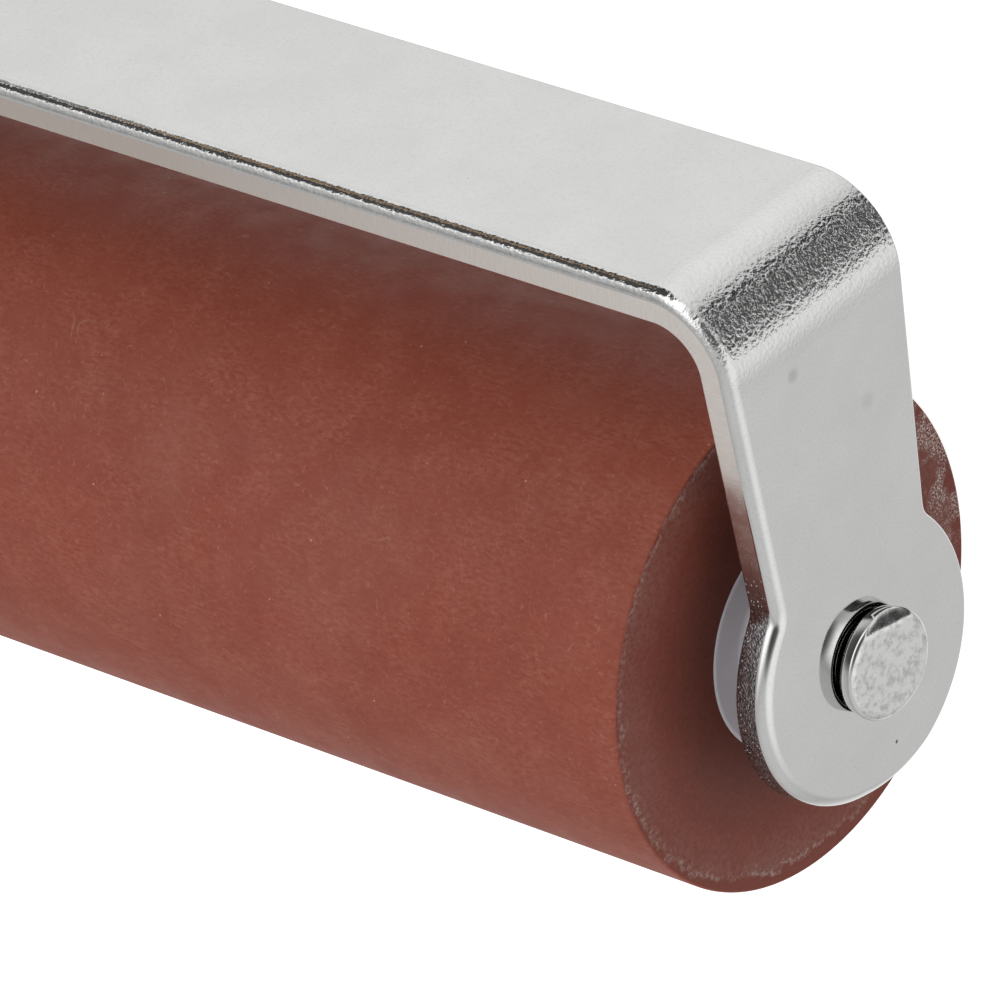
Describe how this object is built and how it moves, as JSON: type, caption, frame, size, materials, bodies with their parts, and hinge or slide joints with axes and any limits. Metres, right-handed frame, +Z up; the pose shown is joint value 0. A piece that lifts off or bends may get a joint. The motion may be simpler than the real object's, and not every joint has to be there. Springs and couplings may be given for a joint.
{
  "type": "rubber brayer",
  "caption": "Hand brayer: a rubber-covered roller on a headed axle between the arms of a nickel-plated bent steel frame, with a turned wooden handle.",
  "frame": {"origin": "on the bench, under the centre of the bounding box of the brayer lying down", "axes": "+X along the roller's axle towards the headed end, +Y from the roller towards the handle, +Z up from the bench"},
  "size_m": [0.2212, 0.2082, 0.045],
  "materials": {
    "rubber": "ground satin, reddish brown",
    "nylon": "milky white, smooth",
    "nickel_plate": "bright nickel plate over steel strip",
    "steel": "plain bright steel",
    "beech": "clear varnished beech"
  },
  "bodies": {
    "frame": {"frame_yoke": "nickel_plate", "tang_rod": "nickel_plate", "flat_washer": "steel", "spring_washer": "steel", "lock_nut": "steel", "ferrule": "nickel_plate", "ferrule_pin": "steel", "handle_grip": "beech"},
    "roller": {"rubber_sleeve": "rubber", "core_tube": "steel", "right_bush": "nylon", "left_bush": "nylon"},
    "axle": {"axle_pin": "nickel_plate", "axle_cap": "nickel_plate"}
  },
  "joints": [
    {"name": "roller_spin", "type": "hinge", "parent": "frame", "child": "roller", "pos_m": [0, -0.08161, 0.02249], "axis": [1, 0, 0], "continuous": true},
    {"name": "axle_spin", "type": "hinge", "parent": "frame", "child": "axle", "pos_m": [0, -0.08161, 0.02249], "axis": [1, 0, 0], "continuous": true}
  ]
}
